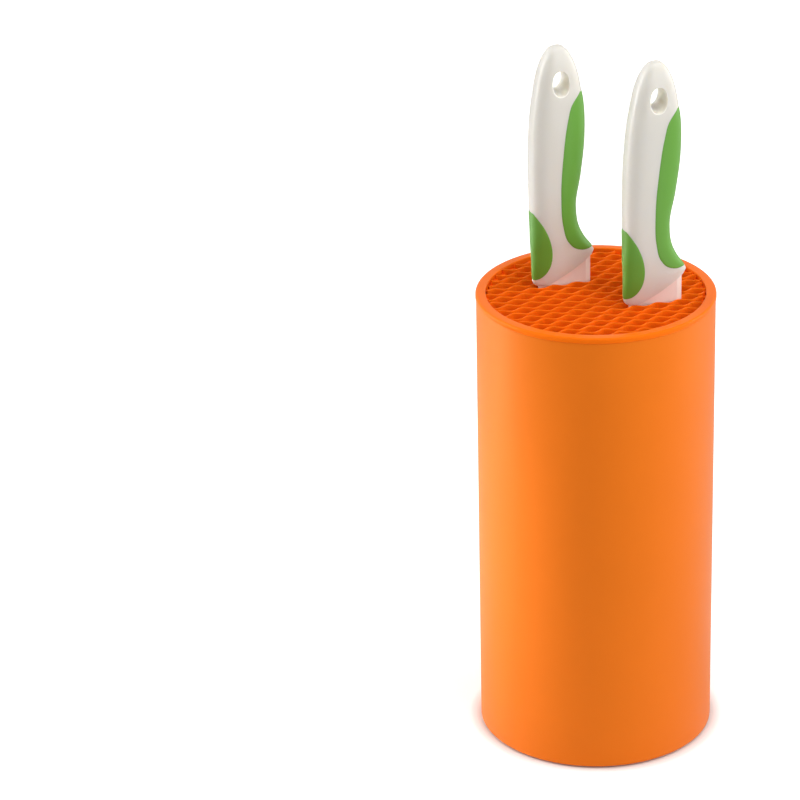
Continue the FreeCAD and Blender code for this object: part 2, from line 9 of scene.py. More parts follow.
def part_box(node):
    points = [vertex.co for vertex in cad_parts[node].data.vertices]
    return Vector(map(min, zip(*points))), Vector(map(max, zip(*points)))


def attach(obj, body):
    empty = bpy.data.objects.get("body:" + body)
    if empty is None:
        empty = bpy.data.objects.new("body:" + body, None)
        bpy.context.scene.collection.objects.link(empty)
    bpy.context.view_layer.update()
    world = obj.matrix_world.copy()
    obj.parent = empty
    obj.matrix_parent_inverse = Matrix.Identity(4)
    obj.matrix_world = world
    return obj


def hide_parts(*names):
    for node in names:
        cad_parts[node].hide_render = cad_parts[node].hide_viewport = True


# %% [markdown]
# # Knife block with two ceramic knives
# The block is a round orange tub with a soft-touch outside. A glossier insert hangs in it by its collar: a
# cup full of upright wavy leaves, which grip a blade pushed between them anywhere. Two knives stand in it,
# with white handles and green soft grips. The solids of the frame give every size and place, and hold
# still; this notebook dresses them.

# %% Load the frame
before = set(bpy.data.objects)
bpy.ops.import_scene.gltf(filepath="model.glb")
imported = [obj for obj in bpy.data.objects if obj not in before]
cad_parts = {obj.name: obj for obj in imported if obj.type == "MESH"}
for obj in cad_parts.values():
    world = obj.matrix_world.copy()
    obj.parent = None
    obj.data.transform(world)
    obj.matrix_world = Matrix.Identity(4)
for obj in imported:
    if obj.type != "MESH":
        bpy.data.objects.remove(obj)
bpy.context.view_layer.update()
MM = 0.001


# %% [markdown]
# ## Meshes from grids of points
# Every new surface here is a grid: rows along the shape, columns across or around it, all worked out as one
# numpy array. Subdivided boxes would need many loops to bend, while a grid takes its curve straight from a
# formula. One helper numbers the quads, and another makes the mesh, merges the points that meet at a pole
# and seats the piece on its body.


# %% Grid helpers
POLE_GAP = 2e-6  # metres; points that meet at a pole or a seam are nearer than this


def grid_faces(rows, cols, around):
    """Quads of a grid numbered row by row: corner (i, j) with (i, j+1), (i+1, j+1) and (i+1, j)."""
    i, j = np.meshgrid(np.arange(rows - 1), np.arange(cols if around else cols - 1), indexing="ij")
    here, right = i * cols + j, i * cols + (j + 1) % cols
    return np.stack([here, right, right + cols, here + cols], -1).reshape(-1, 4)


def piece_from(name, grids, body, material, stands_for=(), crease=35):
    """One object from grids of points in millimetres, each (points, around), seated on a body of the frame.

    around says whether a grid's last column joins its first; crease is the sharpest smooth edge in degrees.
    """
    points, faces, start = [], [], 0
    for grid, around in grids:
        rows, cols, _ = grid.shape
        points.append(grid.reshape(-1, 3))
        faces.append(grid_faces(rows, cols, around) + start)
        start += rows * cols
    mesh = bpy.data.meshes.new(name)
    mesh.from_pydata((np.concatenate(points) * MM).tolist(), [], np.concatenate(faces).tolist())
    edit = bmesh.new()
    edit.from_mesh(mesh)
    bmesh.ops.remove_doubles(edit, verts=edit.verts, dist=POLE_GAP)
    bmesh.ops.holes_fill(edit, edges=[e for e in edit.edges if e.is_boundary])
    bmesh.ops.recalc_face_normals(edit, faces=edit.faces)
    edit.to_mesh(mesh)
    edit.free()
    piece = bpy.data.objects.new(name, mesh)
    bpy.context.scene.collection.objects.link(piece)
    finish_piece(piece, body, material, stands_for, crease)
    return piece


def finish_piece(piece, body, material, stands_for, crease):
    """Smooth shading up to the crease angle, the material, and the place in the frame."""
    piece.data.shade_smooth()
    piece.data.set_sharp_from_angle(angle=math.radians(crease))
    piece.data.materials.clear()
    piece.data.materials.append(bpy.data.materials[material])
    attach(piece, body)
    if stands_for:
        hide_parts(*stands_for)
    print(f"{piece.name}: {len(piece.data.polygons)} faces")


def rounded(corners, radii, steps=6):
    """A profile with round corners, as points (distance from the axis, height).

    At each corner the sides are cut back by radius * tan(turn / 2), and an arc of that radius joins them.
    """
    corners = np.asarray(corners, float)
    out = [corners[:1]]
    for before, at, after, radius in zip(corners[:-2], corners[1:-1], corners[2:], radii):
        into = (at - before) / np.linalg.norm(at - before)
        away = (after - at) / np.linalg.norm(after - at)
        turn = math.atan2(into[0] * away[1] - into[1] * away[0], into @ away)
        start = at - into * radius * math.tan(abs(turn) / 2)
        centre = start + math.copysign(radius, turn) * np.array([-into[1], into[0]])
        angles = np.linspace(0, turn, steps + 1)
        cos, sin = np.cos(angles), np.sin(angles)
        arm = start - centre
        out.append(centre + np.stack([arm[0] * cos - arm[1] * sin, arm[0] * sin + arm[1] * cos], -1))
    out.append(corners[-1:])
    return np.concatenate(out)


def turned(profile, steps=256):
    """A profile (r, z) turned about the upright axis: x = r cos(angle), y = r sin(angle)."""
    angle = np.linspace(0, 2 * np.pi, steps, endpoint=False)
    r, z = profile[:, :1], profile[:, 1:]
    return np.stack([r * np.cos(angle), r * np.sin(angle), z + 0 * angle], -1)


def radius_of(node):
    """The largest distance of a node's points from the upright axis, in millimetres."""
    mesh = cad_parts[node].data
    points = np.zeros(len(mesh.vertices) * 3, np.float32)
    mesh.vertices.foreach_get("co", points)
    return float(np.hypot(*points.reshape(-1, 3)[:, :2].T).max() / MM)


def heights_of(node):
    """A node's lowest and highest points, in millimetres."""
    low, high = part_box(node)
    return low.z / MM, high.z / MM


# %% [markdown]
# ## Plastics, rubber and ceramic
# All the plastics are moulded, and the mould's finish shows as a very fine grain, with a tone that drifts a
# little over the surface. A picture texture would repeat and need unwrapping. Two layers of noise on object
# coordinates give the same at the real scale, so this is one node group that each material uses with its
# own colour, scale and depth.


# %% The shared moulded finish
SLOW_SCALE, SLOW_DETAIL, FINE_DETAIL = 28, 3, 4
NOISE_LOW, NOISE_HIGH = 0.3, 0.7  # nearly all of the slow noise lies between these


def moulded_group():
    """Colour and roughness drift by Drift with slow noise; Height is fine noise of the given scale."""
    group = bpy.data.node_groups.new("moulded_finish", "ShaderNodeTree")
    new_socket = group.interface.new_socket
    new_socket(name="Color", in_out="INPUT", socket_type="NodeSocketColor")
    for name in ("Drift", "Rough", "Grain Scale"):
        new_socket(name=name, in_out="INPUT", socket_type="NodeSocketFloat")
    new_socket(name="Color", in_out="OUTPUT", socket_type="NodeSocketColor")
    for name in ("Roughness", "Height"):
        new_socket(name=name, in_out="OUTPUT", socket_type="NodeSocketFloat")
    nodes, links = group.nodes, group.links
    given, result = nodes.new("NodeGroupInput"), nodes.new("NodeGroupOutput")
    where = nodes.new("ShaderNodeTexCoord")
    slow, fine = nodes.new("ShaderNodeTexNoise"), nodes.new("ShaderNodeTexNoise")
    slow.inputs["Scale"].default_value = SLOW_SCALE
    slow.inputs["Detail"].default_value = SLOW_DETAIL
    fine.inputs["Detail"].default_value = FINE_DETAIL
    links.new(where.outputs["Object"], slow.inputs["Vector"])
    links.new(where.outputs["Object"], fine.inputs["Vector"])
    links.new(given.outputs["Grain Scale"], fine.inputs["Scale"])
    swing = nodes.new("ShaderNodeMapRange")  # to -1..1
    swing.inputs["From Min"].default_value = NOISE_LOW
    swing.inputs["From Max"].default_value = NOISE_HIGH
    swing.inputs["To Min"].default_value = -1
    links.new(slow.outputs["Fac"], swing.inputs["Value"])
    drift = nodes.new("ShaderNodeMath")  # 1 + Drift * swing
    drift.operation = "MULTIPLY_ADD"
    drift.inputs[2].default_value = 1
    links.new(swing.outputs["Result"], drift.inputs[0])
    links.new(given.outputs["Drift"], drift.inputs[1])
    tone = nodes.new("ShaderNodeHueSaturation")
    links.new(given.outputs["Color"], tone.inputs["Color"])
    links.new(drift.outputs["Value"], tone.inputs["Value"])
    rough = nodes.new("ShaderNodeMath")
    rough.operation = "MULTIPLY"
    links.new(given.outputs["Rough"], rough.inputs[0])
    links.new(drift.outputs["Value"], rough.inputs[1])
    links.new(tone.outputs["Color"], result.inputs["Color"])
    links.new(rough.outputs["Value"], result.inputs["Roughness"])
    links.new(fine.outputs["Fac"], result.inputs["Height"])
    return group


MOULDED = moulded_group()


# %% A material from the finish
BUMP_STRENGTH, SHEEN_ROUGHNESS, COAT_ROUGHNESS = 0.4, 0.4, 0.12
HAZE_DEPTH, HAZE_SHARES = 4, (1.0, 0.9, 0.7)  # millimetres; the shares of it for red, green and blue


def linear(red, green, blue):
    """A screen colour 0..255 as light: c / 12.92 below 0.04045, else ((c + 0.055) / 1.055) ^ 2.4."""
    c = np.array([red, green, blue]) / 255
    return (*np.where(c <= 0.04045, c / 12.92, ((c + 0.055) / 1.055) ** 2.4), 1.0)


def moulded(name, colour, rough, drift, grain, depth, specular=0.5, tint=(1, 1, 1), sheen=0.0, coat=0.0,
            haze=0.0):
    """A moulded plastic, rubber or ceramic, made from the plain material of that name.

    drift is the swing of the tone, grain the scale of the fine bumps and depth their height in millimetres.
    haze is the share of the light that goes a few millimetres through the material before it comes out again.
    """
    material = bpy.data.materials[name]
    material.use_nodes = True
    nodes, links = material.node_tree.nodes, material.node_tree.links
    nodes.clear()
    shader, result = nodes.new("ShaderNodeBsdfPrincipled"), nodes.new("ShaderNodeOutputMaterial")
    links.new(shader.outputs["BSDF"], result.inputs["Surface"])
    finish = nodes.new("ShaderNodeGroup")
    finish.node_tree = MOULDED
    finish.inputs["Color"].default_value = linear(*colour)
    finish.inputs["Drift"].default_value = drift
    finish.inputs["Rough"].default_value = rough
    finish.inputs["Grain Scale"].default_value = grain
    bump = nodes.new("ShaderNodeBump")
    bump.inputs["Strength"].default_value = BUMP_STRENGTH
    bump.inputs["Distance"].default_value = depth * MM
    links.new(finish.outputs["Color"], shader.inputs["Base Color"])
    links.new(finish.outputs["Roughness"], shader.inputs["Roughness"])
    links.new(finish.outputs["Height"], bump.inputs["Height"])
    links.new(bump.outputs["Normal"], shader.inputs["Normal"])
    shader.inputs["Specular IOR Level"].default_value = specular
    shader.inputs["Specular Tint"].default_value = (*tint, 1)
    shader.inputs["Sheen Weight"].default_value = sheen
    shader.inputs["Sheen Roughness"].default_value = SHEEN_ROUGHNESS
    shader.inputs["Sheen Tint"].default_value = (*tint, 1)
    shader.inputs["Coat Weight"].default_value = coat
    shader.inputs["Coat Roughness"].default_value = COAT_ROUGHNESS
    shader.inputs["Subsurface Weight"].default_value = haze
    shader.inputs["Subsurface Radius"].default_value = HAZE_SHARES
    shader.inputs["Subsurface Scale"].default_value = HAZE_DEPTH * MM


# %% [markdown]
# The tub is matt and soft to the touch, and its insert is bare, redder plastic. The highlights of both stay
# warm, so their specular is tinted. The handles' white plastic lets a little light in, and the wall of their
# hole, which no mould grain reaches, is smoother. That wall is also painted a brighter, creamier white than
# the handle: painted light for the inside of the hole. The grips have a faint sheen, and the ceramic a
# polished coat.

# %% The finishes of this block
WARM = (1, 0.4, 0.06)  # red, green and blue of the orange parts' reflections
# a material for the hole's wall and lip, painted brighter as light inside the hole
bpy.data.materials.new("hole_painted_light_white")  # the others are in the frame already
moulded("casing_orange", (238, 119, 28), rough=0.42, drift=0.015, grain=1400, depth=0.03, tint=WARM)
moulded("insert_orange", (255, 117, 18), rough=0.34, drift=0.02, grain=700, depth=0.01, specular=0.12,
        tint=WARM)
moulded("pad_rubber", (70, 70, 70), rough=0.75, drift=0.04, grain=1200, depth=0.05)
moulded("handle_white", (223, 220, 212), rough=0.36, drift=0.01, grain=1100, depth=0.012, haze=0.5)
# painted light: the hole's wall gets a brighter, creamier white than the handle, in place of the light inside
# the hole
moulded("hole_painted_light_white", (252, 247, 236), rough=0.3, drift=0.01, grain=1100, depth=0.006, haze=0.5)
moulded("grip_green", (98, 160, 50), rough=0.45, drift=0.02, grain=1500, depth=0.03, sheen=0.1)
moulded("blade_ceramic", (252, 237, 228), rough=0.2, drift=0.006, grain=500, depth=0.004, coat=0.2)
print("materials:", len(bpy.data.materials))

# %% [markdown]
# ## The tub
# The tub is one moulding, turned in form: a tall straight wall, a floor, a slightly rounded foot and a flat
# rim that carries the collar. A cylinder primitive has no wall, so the tub is a profile of the whole
# section, inside and out, carried round the axis in fine steps, which also keeps its long highlights
# smooth.

# %% Tub
casing_low, casing_high = heights_of("casing")
casing_radius = radius_of("casing")
CASING_WALL, CASING_FLOOR = 2.2, 3.0
CASING_ROUNDS = (1.1, 0.35, 0.3, 1.5)  # foot, rim outside, rim inside, floor inside
casing_profile = rounded(
    [
        (0, casing_low),
        (casing_radius, casing_low),
        (casing_radius, casing_high),
        (casing_radius - CASING_WALL, casing_high),
        (casing_radius - CASING_WALL, casing_low + CASING_FLOOR),
        (0, casing_low + CASING_FLOOR),
    ],
    radii=CASING_ROUNDS,
)
piece_from("tub", [(turned(casing_profile), True)], "block", "casing_orange", ["casing"])

# %% [markdown]
# ## Rubber pads
# Four square pads under the floor keep the block from sliding. Each is a cushion of rubber with soft
# corners. A cube with a bevel would do, and a superellipse section, shrunk a little at its foot, gives the
# same in one grid.


# %% Pads
def pad_grid(centre, side, low, high, edge=0.35, power=7, steps=64):
    """Rings of a superellipse |x|^p + |y|^p = 1, whose size follows a quarter circle at the foot."""
    angle = np.linspace(0, 2 * np.pi, steps, endpoint=False)
    ring = np.stack([np.cos(angle), np.sin(angle)], -1)
    ring = ring / (np.abs(ring) ** power).sum(-1, keepdims=True) ** (1 / power) * side / 2
    bend = np.linspace(0, np.pi / 2, 6)
    shrink = 1 - edge * (1 - np.sin(bend)) / (side / 2)
    size = np.concatenate([[0.0], shrink, [1.0, 0.0]])
    height = np.concatenate([[low], low + edge * (1 - np.cos(bend)), [high, high]])
    flat = centre + ring[None] * size[:, None, None]
    return np.concatenate([flat, np.broadcast_to(height[:, None, None], (*flat.shape[:2], 1))], -1)


for number in range(1, 5):
    low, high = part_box(f"foot_pad_{number}")
    centre = np.array([low.x + high.x, low.y + high.y]) / 2 / MM
    grid = pad_grid(centre, (high.x - low.x) / MM, low.z / MM, high.z / MM)
    piece_from(f"rubber_pad_{number}", [(grid, True)], "block", "pad_rubber", [f"foot_pad_{number}"])

# %% [markdown]
# ## Collar and liner
# The collar is the flange that rests on the tub's rim, glossier and redder than the tub. Its outer edge is
# well rounded and its inner edge only broken, as on an injection moulding. It is turned from its profile as
# the tub is. The liner below it is a thin cup, seen when the insert is lifted out. Its inner outline has a
# groove for each end of each leaf, and its outer one as many points, evenly spaced, so that the two join in
# straight rows.

# %% Collar
collar_low, collar_high = heights_of("collar")
collar_radius = min(abs(value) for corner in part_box("collar") for value in corner[:2]) / MM
COLLAR_ROUNDS = (0.25, 0.95, 0.45, 0.1)  # outside foot and top, inside top and foot
OPENING_SHARE = 0.9625  # of the liner's radius, so that the collar hides the liner's wall
opening = OPENING_SHARE * radius_of("liner")
collar_profile = rounded(
    [
        ((collar_radius + opening) / 2, collar_low),
        (collar_radius, collar_low),
        (collar_radius, collar_high),
        (opening, collar_high),
        (opening, collar_low),
        ((collar_radius + opening) / 2, collar_low),
    ],
    radii=COLLAR_ROUNDS,
    steps=8,
)
piece_from("collar_ring", [(turned(collar_profile), True)], "insert", "insert_orange", ["collar"])

# %% Liner
LEAF_PITCH, LEAF_COUNT = 5.0, 20
leaf_places = (np.arange(LEAF_COUNT) - (LEAF_COUNT - 1) / 2) * LEAF_PITCH
liner_low, liner_high = heights_of("liner")
LINER_WALL, LINER_FLOOR, GROOVE_DEPTH, GROOVE_WIDTH = 1.7, 1.5, 0.9, 2.2
FOOT_SHARE, FOOT_RISE = 0.99, 0.5  # the liner's foot has this share of its radius, and all of it this high up
CAP_STEPS = 24  # points over the plain arc beyond the last groove
liner_radius = radius_of("liner")
liner_bore = liner_radius - LINER_WALL


def grooved_ring(places, bore, depth, width):
    """The inner outline: a circle of the bore, and of bore + depth within width / 2 of each leaf's place."""
    y = (places[:, None] + np.array([-1, -1, 1, 1]) * width / 2).ravel()
    r = np.tile([bore, bore + depth, bore + depth, bore], len(places))
    right = np.stack([np.sqrt(r**2 - y**2), y], -1)
    last = math.asin(y[-1] / bore)
    cap = np.linspace(last, np.pi - last, CAP_STEPS)[1:-1]
    top = bore * np.stack([np.cos(cap), np.sin(cap)], -1)
    return np.concatenate([right, top, -right, -top])


inner = grooved_ring(leaf_places, liner_bore, GROOVE_DEPTH, GROOVE_WIDTH)
inner_angle = np.unwrap(np.arctan2(inner[:, 1], inner[:, 0]))
angle = np.arange(len(inner)) / len(inner) * 2 * np.pi
angle = angle + (inner_angle - angle).mean()
outer = liner_radius * np.stack([np.cos(angle), np.sin(angle)], -1)
floor_top = liner_low + LINER_FLOOR
rings = np.stack([outer * 0, outer * FOOT_SHARE, outer, outer, inner, inner, inner * 0])
levels = np.array([liner_low, liner_low, liner_low + FOOT_RISE, liner_high, liner_high, floor_top, floor_top])
liner_grid = np.concatenate([rings, np.broadcast_to(levels[:, None, None], (*rings.shape[:2], 1))], -1)
piece_from("liner_cup", [(liner_grid, True)], "insert", "insert_orange", ["liner"])

# %% [markdown]
# ## Wavy leaves
# Each leaf is a thin upright strip, bent to a smooth wave along its length, with a rounded upper edge and a
# thicker bead at both ends that sits in a groove of the liner. Neighbours wave against each other, so the
# slots swell and narrow, and the narrow places hold a blade. A wave modifier would move flat faces about.
# Here the wave is the formula itself: the section of the strip is carried along x and shifted by half the
# wave's height times the cosine. Its height is what a blade and a little play leave of the pitch.

# %% Leaves
WAVE_LENGTH, LEAF_THICKNESS, LEAF_GAP, GROOVE_CLEARANCE = 10.8, 0.7, 0.25, 0.15
GRIP_PLAY = 0.1  # between a blade and the crests on each side of it
POINTS_PER_WAVE, BEAD_OVERLAP, BEAD_DROP = 20, 0.8, 0.15


def thickness_of(node):
    """A node's size across the slots, in millimetres."""
    low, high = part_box(node)
    return (high.y - low.y) / MM


bead = thickness_of("wave_leaf_01")
wave_height = LEAF_PITCH - LEAF_THICKNESS - thickness_of("knife_1_blade") - 2 * GRIP_PLAY
print("waves are", round(wave_height, 2), "mm high")


def leaf_grid(place, turn, half_length, low, high):
    """Rows along x, columns round the section: y = place + turn * h / 2 * cos(2 pi x / length) + across."""
    steps = math.ceil(half_length / WAVE_LENGTH * POINTS_PER_WAVE / 2)
    x = np.linspace(-half_length, half_length, 1 + 2 * steps)
    bend = np.linspace(0, np.pi, 7)
    half = LEAF_THICKNESS / 2
    across = np.concatenate([[-half], -half * np.cos(bend), [half]])
    up = np.concatenate([[low], high - half + half * np.sin(bend), [low]])
    y = place + turn * wave_height / 2 * np.cos(2 * np.pi * x / WAVE_LENGTH)
    return np.stack(np.broadcast_arrays(x[:, None], y[:, None] + across, up[None]), -1)


def bar_grid(x0, x1, y, width, low, high):
    """A square bar along x as two rows of four corners; its ends are closed when the mesh is made."""
    corners = np.array([(-1, low), (1, low), (1, high), (-1, high)]) * (width / 2, 1) + (y, 0)
    return np.stack([np.column_stack([np.full(4, x), corners]) for x in (x0, x1)])


leaf_top = heights_of("knife_1_handle_core")[0]  # the handles stand on the leaves
for number, place in enumerate(leaf_places, start=1):
    low = heights_of(f"wave_leaf_{number:02d}")[0]
    side = abs(place) + bead / 2
    half_length = math.sqrt((opening - LEAF_GAP) ** 2 - side**2)
    reach = math.sqrt((liner_bore + GROOVE_DEPTH - GROOVE_CLEARANCE) ** 2 - side**2)
    grids = [(leaf_grid(place, -1 if number % 2 else 1, half_length, low, leaf_top), True)]
    for sign in (-1, 1):
        inside, end = sign * (half_length - BEAD_OVERLAP), sign * reach
        grids.append((bar_grid(inside, end, place, bead, low, liner_high - BEAD_DROP), True))
    piece_from(f"leaf_{number:02d}", grids, "insert", "insert_orange", [f"wave_leaf_{number:02d}"])

# %% [markdown]
# ## Handles
# A handle is a full, soft form: seen from the side it has a nearly straight spine, a hollow for the
# forefinger behind a guard, a palm swell and a round butt; its sections are ovals. Box modelling with
# subdivision would reach it by eye. Here the skin is a height field over the side view instead: half the
# thickness at a point is the station's thickness times a superellipse of the point's place between spine
# and belly. The same formula then gives the core and both grips, so they always fit each other.

# %% Outline of the handle
# Stations up the handle: height above the nose, spine, belly and half thickness, all in millimetres, in the
# knife's own frame whose x = 0 is the line of the cutting edge.
STATIONS = np.array([
    (0.0, -27.9, 1.2, 3.4),
    (8.0, -28.0, 1.2, 4.0),
    (13.4, -28.0, 1.2, 4.4),
    (14.6, -28.0, 1.7, 4.5),
    (16.5, -28.1, 1.0, 4.6),
    (21.5, -28.3, -2.6, 5.1),
    (27.0, -28.3, -5.4, 5.6),
    (38.0, -28.5, -7.2, 6.5),
    (54.0, -28.7, -4.8, 7.2),
    (72.0, -28.2, -2.8, 7.5),
    (88.0, -26.8, -3.0, 7.1),
    (98.0, -25.1, -4.5, 6.6),
])
HANDLE_TOP, CROWN_START = 115.6, 96.8
NOSE_CORNER, NOSE_BEND, NOSE_SLOPE, NOSE_CURVE, GUARD_FOOT = 3.2, 22.0, 0.4, 0.008, 13.4
NOSE_THINNING, NOSE_FADE = 0.4, 5.0
CROWN_POWER, SECTION_POWER = 2.4, 3.0
CROWN_THIN_POWER, CROWN_THIN_ROOT = 3, 0.4


def cubic(at, values, where):
    """A smooth curve through values known at the places at: Hermite cubics, straight beyond the last place.

    With t from 0 to 1 between two places, v = (2t^3 - 3t^2 + 1) v0 + (t^3 - 2t^2 + t) s0 + (3t^2 - 2t^3) v1 +
    (t^3 - t^2) s1, where s is the step times the slope between a place's neighbours.
    """
    slope = np.gradient(values, at)
    inside = np.clip(where, at[0], at[-1])
    i = np.clip(np.searchsorted(at, inside, side="right") - 1, 0, len(at) - 2)
    step = at[i + 1] - at[i]
    t = (inside - at[i]) / step
    ends = (2 * t**3 - 3 * t**2 + 1) * values[i] + (3 * t**2 - 2 * t**3) * values[i + 1]
    slopes = (t**3 - 2 * t**2 + t) * slope[i] + (t**3 - t**2) * slope[i + 1]
    return ends + step * slopes + np.where(where > at[-1], slope[-1], 0) * (where - inside)


def nose_height(x):
    """The nose line: level at the back, then rising to the guard as a d + b d^2."""
    d = np.maximum(x + NOSE_BEND, 0)
    return NOSE_SLOPE * d + NOSE_CURVE * d**2


def section(heights):
    """Middle, half width and half thickness at a height.

    With t from 0 to 1 over the crown, its width closes as (1 - t^p)^(1/p) and its thickness as (1 - t^q)^r.
    Behind the nose the spine comes in as an arc.
    """
    spine, belly, thick = (cubic(STATIONS[:, 0], STATIONS[:, column], heights) for column in (1, 2, 3))
    fall = NOSE_CORNER - np.clip(heights, 0, NOSE_CORNER)
    spine = spine + NOSE_CORNER - np.sqrt(NOSE_CORNER**2 - fall**2)
    t = np.clip((heights - CROWN_START) / (HANDLE_TOP - CROWN_START), 0, 1)
    crown = (1 - t**CROWN_POWER) ** (1 / CROWN_POWER)
    thinner = (1 - t**CROWN_THIN_POWER) ** CROWN_THIN_ROOT
    return (spine + belly) / 2, (belly - spine) / 2 * crown, thick * thinner


def skin(x, z, lift=0.0):
    """Half the thickness at (x, z): b (1 - |f|^p)^(1/p), f = (x - middle) / half width, both grown by lift.

    Towards the nose line it thins by 1 - a exp(-distance / fade), so that the nose nearly meets the blade.
    """
    middle, half_width, half_thick = section(z)
    f = np.clip(np.abs(x - middle) / np.maximum(half_width + lift, 1e-6), 0, 1)
    above_nose = np.maximum(z - nose_height(x), 0)
    thinning = 1 - NOSE_THINNING * np.exp(-above_nose / NOSE_FADE)
    return (half_thick * thinning + lift) * (1 - f**SECTION_POWER) ** (1 / SECTION_POWER)


palm_half_width = section(STATIONS[:, 0])[1].max()
print("handle is widest", round(2 * float(palm_half_width), 1), "mm")


# %% [markdown]
# The core's grid has level rows from the crown down to the finger hollow. Below that the rows turn
# gradually until the last one lies on the slanting nose line, as a Coons patch does: the sum of the two
# blends between opposite borders, less the blend between the corners. The nose's edge is then rounded, and
# its face closed round the blade.


# %% Core of the handle
def core_rows(columns=49, upper=80, lower=48, turn=38.0, edge=0.5):
    """Side view points (rows, columns, x z) from crown to nose, and the half thickness at each."""
    c = (1 - np.cos(np.linspace(0, np.pi, columns))) / 2
    z = turn + (HANDLE_TOP - turn) * np.sin(np.linspace(np.pi / 2, 0, upper))
    middle, half_width, _ = section(z)
    top_x = middle[:, None] + half_width[:, None] * (2 * c - 1)
    top = np.stack([top_x, np.broadcast_to(z[:, None], top_x.shape)], -1)
    v = np.sin(np.linspace(0, np.pi / 2, lower))
    left_z = turn * (1 - v)
    right_z = turn + (GUARD_FOOT - turn) * v
    left_middle, left_half, _ = section(left_z)
    right_middle, right_half, _ = section(right_z)
    left = np.stack([left_middle - left_half, left_z], -1)[:, None]
    right = np.stack([right_middle + right_half, right_z], -1)[:, None]
    start = top[-1][None]
    nose_x = left[-1, 0, 0] + (right[-1, 0, 0] - left[-1, 0, 0]) * c
    nose = np.stack([nose_x, nose_height(nose_x)], -1)[None]
    v, c = v[:, None, None], c[None, :, None]
    corners = (1 - v) * ((1 - c) * start[:, :1] + c * start[:, -1:])
    corners = corners + v * ((1 - c) * nose[:, :1] + c * nose[:, -1:])
    low = (1 - v) * start + v * nose + (1 - c) * left + c * right - corners
    side_view = np.concatenate([top, low[1:]])
    thick = skin(side_view[..., 0], side_view[..., 1])
    bend = np.linspace(0, np.pi / 2, 6)[1:]
    foot = np.repeat(side_view[-1][None], len(bend) + 1, 0)
    foot[..., 1] -= edge / 2 * np.append(np.sin(bend), 1)[:, None]
    rounded_off = thick[-1] - edge * (1 - np.cos(bend))[:, None]
    foot_thick = np.maximum(np.concatenate([rounded_off, 0 * thick[-1:]]), 0)
    return np.concatenate([side_view, foot]), np.concatenate([thick, foot_thick])


def both_sides(flat, thick):
    """Close each row round the handle: out over the front face, y = -thick, and back over the other one."""
    front = np.stack([flat[..., 0], -thick, flat[..., 1]], -1)
    back = np.stack([flat[..., 0], thick, flat[..., 1]], -1)
    return np.concatenate([front, back[:, -2:0:-1]], 1)


core_side, core_thick = core_rows()
core_side[..., 1] = np.maximum(core_side[..., 1], 0)
core_grid = both_sides(core_side, core_thick)
print("core grid:", core_grid.shape)

# %% [markdown]
# ## Soft grips
# The green grips are moulded onto the core: one along the belly from the guard to the palm, one lens shaped
# at the spine for the thumb. Painting them on would lose the fine step at their edge. Each is a skin of its
# own on the same formula, grown by a fraction of a millimetre and let down at its border, with an underside
# sunk into the core, so that every row is a closed loop.

# %% Borders of the grips
BELLY_BORDER = np.array([
    (1.1, 16.8), (-4.2, 16.4), (-8.5, 17.9), (-12.2, 22.0), (-14.6, 30.0), (-15.7, 45.0), (-14.7, 63.5),
    (-12.2, 81.0), (-10.2, 88.2), (-5.6, 94.0),
])
SPINE_BORDER = np.array([
    (-28.1, 3.5), (-25.1, 4.2), (-22.8, 5.9), (-20.7, 9.0), (-19.4, 15.7), (-20.5, 22.7), (-23.5, 30.0),
    (-28.1, 37.1),
])
GRIP_LIFT, GRIP_SINK = 0.16, 1.4
RISE_ACROSS, RISE_ALONG = 0.05, 0.12  # shares of the width and of the sine along, over which a grip rises


def along(border, w):
    """Points of a smooth curve through the border's points, at shares w of the distance along them."""
    gaps = np.linalg.norm(np.diff(border, axis=0), axis=1)
    at = np.concatenate([[0], np.cumsum(gaps)]) / gaps.sum()
    return np.stack([cubic(at, column, w) for column in border.T], -1)


def grip_grid(border, side, rows=110, columns=28):
    """Rows from the border over the belly or spine edge to the border again, and back underneath.

    A point lies between the border and the edge by sin(c pi / 2), which sets them close where the skin turns.
    """
    w = (1 - np.cos(np.linspace(0, np.pi, rows))) / 2
    rim = along(border, w)
    edge_z = border[0, 1] + (border[-1, 1] - border[0, 1]) * w
    middle, half_width, _ = section(edge_z)
    c = np.linspace(0, 1, columns)
    across = np.sqrt(np.clip(c / RISE_ACROSS, 0, 1))
    lengthways = np.sqrt(np.clip(np.sin(w * np.pi) / RISE_ALONG, 0, 1))
    lift = GRIP_LIFT * across * lengthways[:, None]
    loops = []
    for depth in (lift, np.full_like(lift, -GRIP_SINK)):
        edge_x = middle[:, None] + side * (half_width[:, None] + depth[:, -1:])
        reach = np.sin(c * np.pi / 2)
        x = rim[:, :1] + (edge_x - rim[:, :1]) * reach
        z = rim[:, 1:] + (edge_z[:, None] - rim[:, 1:]) * reach
        y = skin(x, z, depth)
        y[:, -1] = 0
        front, back = np.stack([x, -y, z], -1), np.stack([x, y, z], -1)
        loops.append(np.concatenate([front, back[:, -2::-1]], 1))
    return np.concatenate([loops[0], loops[1][:, ::-1]], 1)


belly_grip = grip_grid(BELLY_BORDER, side=1)
spine_grip = grip_grid(SPINE_BORDER, side=-1, rows=70)
print("grips:", belly_grip.shape, spine_grip.shape)

# %% [markdown]
# ## Hanging hole
# Near the butt an oval hole goes through the handle, with a softly rounded lip on both faces. It could be
# built into the grid, but that would tear its neat rows. So a cutter goes through the finished core: an
# oval tube that flares by a quarter circle where it meets the skin. The boolean leaves that flare behind as
# the lip, and hands the cutter's material to the lip and the wall of the hole: a brighter white, painted
# light for the inside of the hole.

# %% Hole cutter
HOLE_X, HOLE_Z, HOLE_HALF_WIDTH, HOLE_HALF_LENGTH = -14.8, 98.9, 3.85, 5.9
HOLE_POWER, LIP, WALL_CREASE = 2.2, 0.35, 40


